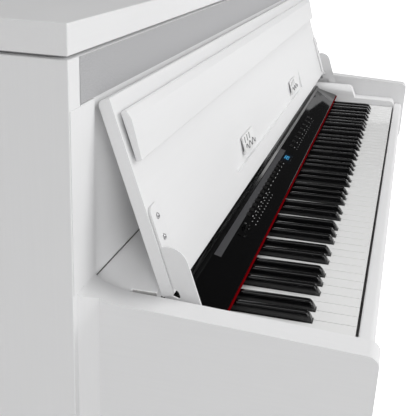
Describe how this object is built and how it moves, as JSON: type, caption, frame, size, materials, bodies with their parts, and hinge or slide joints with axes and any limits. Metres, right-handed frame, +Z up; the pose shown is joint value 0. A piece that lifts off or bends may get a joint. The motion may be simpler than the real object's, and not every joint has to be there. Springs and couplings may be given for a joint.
{
  "type": "upright digital piano",
  "caption": "White upright-cabinet digital piano: arms, folding key lid with music shelf, full keyboard, black control panel with display, speaker grille, front legs, pedals.",
  "frame": {"origin": "on the floor, under the middle of the piano's bounding box", "axes": "+X along the keyboard to the treble end, -Y towards the player, +Z up"},
  "size_m": [1.426, 0.46, 1.068],
  "materials": {
    "white_lacquer": "satin white lacquer on fibreboard",
    "back_board": "matt white thin board",
    "grille_cloth": "woven grey speaker cloth",
    "white_steel": "white powder coat",
    "steel_pin": "turned steel",
    "page_clip": "white moulded plastic",
    "white_key": "smooth white key top",
    "black_key": "satin black key",
    "gloss_black": "piano black gloss",
    "button_black": "semi-gloss black caps",
    "display": "smoked window with blue digits",
    "red_felt": "red woven felt",
    "chassis_steel": "galvanised sheet steel",
    "pedal_brass": "polished brass",
    "speaker_black": "black speaker frame and cone",
    "circuit_board": "green circuit board with dark components",
    "inlet_black": "black moulded inlet"
  },
  "bodies": {
    "cabinet": {"side_panel_bass": "white_lacquer", "side_panel_treble": "white_lacquer", "arm_panel_bass": "white_lacquer", "arm_panel_treble": "white_lacquer", "top_board": "white_lacquer", "grille_frame": "white_lacquer", "grille_cloth": "grille_cloth", "speaker_bass": "speaker_black", "speaker_treble": "speaker_black", "recess_panel": "white_lacquer", "shelf_board": "white_lacquer", "back_panel": "back_board", "power_inlet": "inlet_black", "main_board": "circuit_board", "key_bed": "white_lacquer", "lower_panel": "white_lacquer", "bottom_board": "white_lacquer", "key_slip": "white_lacquer", "key_block_bass": "white_lacquer", "key_block_treble": "white_lacquer", "toe_block_bass": "white_lacquer", "toe_block_treble": "white_lacquer", "leg_bass": "white_lacquer", "leg_treble": "white_lacquer", "white_keys_low": "white_key", "black_keys_low": "black_key", "white_keys_high": "white_key", "black_keys_high": "black_key", "key_chassis": "chassis_steel", "control_panel": "gloss_black", "display_window": "display", "key_felt": "red_felt", "pedal_box": "white_steel"},
    "lid": {"key_lid": "white_lacquer", "lid_pin_bass": "steel_pin", "lid_pin_treble": "steel_pin", "lid_bracket_bass": "white_steel", "lid_bracket_treble": "white_steel"},
    "music_shelf": {"music_shelf": "white_lacquer"},
    "page_clip_bass": {"page_clip_bass": "page_clip"},
    "page_clip_treble": {"page_clip_treble": "page_clip"},
    "voice_buttons": {"voice_buttons": "button_black"},
    "song_buttons": {"song_buttons": "button_black"},
    "power_button": {"power_button": "gloss_black"},
    "volume_knob": {"volume_knob": "gloss_black"},
    "pedal_soft": {"pedal_soft": "pedal_brass"},
    "pedal_sostenuto": {"pedal_sostenuto": "pedal_brass"},
    "pedal_sustain": {"pedal_sustain": "pedal_brass"},
    "key_C4": {"key_C4": "white_key"},
    "key_Cs4": {"key_Cs4": "black_key"},
    "key_D4": {"key_D4": "white_key"},
    "key_Ds4": {"key_Ds4": "black_key"},
    "key_E4": {"key_E4": "white_key"},
    "key_F4": {"key_F4": "white_key"},
    "key_Fs4": {"key_Fs4": "black_key"},
    "key_G4": {"key_G4": "white_key"},
    "key_Gs4": {"key_Gs4": "black_key"},
    "key_A4": {"key_A4": "white_key"},
    "key_As4": {"key_As4": "black_key"},
    "key_B4": {"key_B4": "white_key"}
  },
  "joints": [
    {"name": "lid_hinge", "type": "hinge", "parent": "cabinet", "child": "lid", "pos_m": [0, -0.01788, 0.78635], "axis": [1, 0, 0], "range_deg": [0, 107]},
    {"name": "music_shelf_hinge", "type": "hinge", "parent": "lid", "child": "music_shelf", "pos_m": [0, 0.02343, 0.93085], "axis": [-1, 0, 0], "range_deg": [-95, 0]},
    {"name": "page_clip_bass_hinge", "type": "hinge", "parent": "lid", "child": "page_clip_bass", "pos_m": [-0.222, -0.00748, 0.83518], "axis": [-1, 0, 0], "range_deg": [-50, 0], "stiffness_Nm_per_rad": 0.05, "springref_deg": 11.46},
    {"name": "page_clip_treble_hinge", "type": "hinge", "parent": "lid", "child": "page_clip_treble", "pos_m": [0.222, -0.00748, 0.83518], "axis": [-1, 0, 0], "range_deg": [-50, 0], "stiffness_Nm_per_rad": 0.05, "springref_deg": 11.46},
    {"name": "key_C4_hinge", "type": "hinge", "parent": "cabinet", "child": "key_C4", "pos_m": [0, 0.032, 0.721], "axis": [1, 0, 0], "range_deg": [0, 2.4], "stiffness_Nm_per_rad": 2.4, "springref_deg": -5.73},
    {"name": "key_Cs4_hinge", "type": "hinge", "parent": "cabinet", "child": "key_Cs4", "pos_m": [0, 0.032, 0.73], "axis": [1, 0, 0], "range_deg": [0, 2.4], "stiffness_Nm_per_rad": 1.6, "springref_deg": -5.73},
    {"name": "key_D4_hinge", "type": "hinge", "parent": "cabinet", "child": "key_D4", "pos_m": [0, 0.032, 0.721], "axis": [1, 0, 0], "range_deg": [0, 2.4], "stiffness_Nm_per_rad": 2.4, "springref_deg": -5.73},
    {"name": "key_Ds4_hinge", "type": "hinge", "parent": "cabinet", "child": "key_Ds4", "pos_m": [0, 0.032, 0.73], "axis": [1, 0, 0], "range_deg": [0, 2.4], "stiffness_Nm_per_rad": 1.6, "springref_deg": -5.73},
    {"name": "key_E4_hinge", "type": "hinge", "parent": "cabinet", "child": "key_E4", "pos_m": [0, 0.032, 0.721], "axis": [1, 0, 0], "range_deg": [0, 2.4], "stiffness_Nm_per_rad": 2.4, "springref_deg": -5.73},
    {"name": "key_F4_hinge", "type": "hinge", "parent": "cabinet", "child": "key_F4", "pos_m": [0, 0.032, 0.721], "axis": [1, 0, 0], "range_deg": [0, 2.4], "stiffness_Nm_per_rad": 2.4, "springref_deg": -5.73},
    {"name": "key_Fs4_hinge", "type": "hinge", "parent": "cabinet", "child": "key_Fs4", "pos_m": [0, 0.032, 0.73], "axis": [1, 0, 0], "range_deg": [0, 2.4], "stiffness_Nm_per_rad": 1.6, "springref_deg": -5.73},
    {"name": "key_G4_hinge", "type": "hinge", "parent": "cabinet", "child": "key_G4", "pos_m": [0, 0.032, 0.721], "axis": [1, 0, 0], "range_deg": [0, 2.4], "stiffness_Nm_per_rad": 2.4, "springref_deg": -5.73},
    {"name": "key_Gs4_hinge", "type": "hinge", "parent": "cabinet", "child": "key_Gs4", "pos_m": [0, 0.032, 0.73], "axis": [1, 0, 0], "range_deg": [0, 2.4], "stiffness_Nm_per_rad": 1.6, "springref_deg": -5.73},
    {"name": "key_A4_hinge", "type": "hinge", "parent": "cabinet", "child": "key_A4", "pos_m": [0, 0.032, 0.721], "axis": [1, 0, 0], "range_deg": [0, 2.4], "stiffness_Nm_per_rad": 2.4, "springref_deg": -5.73},
    {"name": "key_As4_hinge", "type": "hinge", "parent": "cabinet", "child": "key_As4", "pos_m": [0, 0.032, 0.73], "axis": [1, 0, 0], "range_deg": [0, 2.4], "stiffness_Nm_per_rad": 1.6, "springref_deg": -5.73},
    {"name": "key_B4_hinge", "type": "hinge", "parent": "cabinet", "child": "key_B4", "pos_m": [0, 0.032, 0.721], "axis": [1, 0, 0], "range_deg": [0, 2.4], "stiffness_Nm_per_rad": 2.4, "springref_deg": -5.73},
    {"name": "voice_buttons_press", "type": "slide", "parent": "cabinet", "child": "voice_buttons", "axis": [0, 0.2703, -0.9628], "range_m": [0, 0.001], "stiffness_N_per_m": 900, "springref_m": -0.0006},
    {"name": "song_buttons_press", "type": "slide", "parent": "cabinet", "child": "song_buttons", "axis": [0, 0.2703, -0.9628], "range_m": [0, 0.001], "stiffness_N_per_m": 700, "springref_m": -0.0006},
    {"name": "power_button_press", "type": "slide", "parent": "cabinet", "child": "power_button", "axis": [0, 0.2703, -0.9628], "range_m": [0, 0.0015], "stiffness_N_per_m": 300, "springref_m": -0.0006},
    {"name": "volume_knob_turn", "type": "hinge", "parent": "cabinet", "child": "volume_knob", "pos_m": [-0.356, -0.035, 0.75928], "axis": [0, -0.2703, 0.9628], "range_deg": [-150, 150]},
    {"name": "pedal_soft_hinge", "type": "hinge", "parent": "cabinet", "child": "pedal_soft", "pos_m": [-0.075, 0.151, 0.036], "axis": [1, 0, 0], "range_deg": [0, 5], "stiffness_Nm_per_rad": 30, "springref_deg": -2.86},
    {"name": "pedal_sostenuto_hinge", "type": "hinge", "parent": "cabinet", "child": "pedal_sostenuto", "pos_m": [0, 0.151, 0.036], "axis": [1, 0, 0], "range_deg": [0, 5], "stiffness_Nm_per_rad": 30, "springref_deg": -2.86},
    {"name": "pedal_sustain_hinge", "type": "hinge", "parent": "cabinet", "child": "pedal_sustain", "pos_m": [0.075, 0.151, 0.036], "axis": [1, 0, 0], "range_deg": [0, 5], "stiffness_Nm_per_rad": 30, "springref_deg": -2.86}
  ]
}
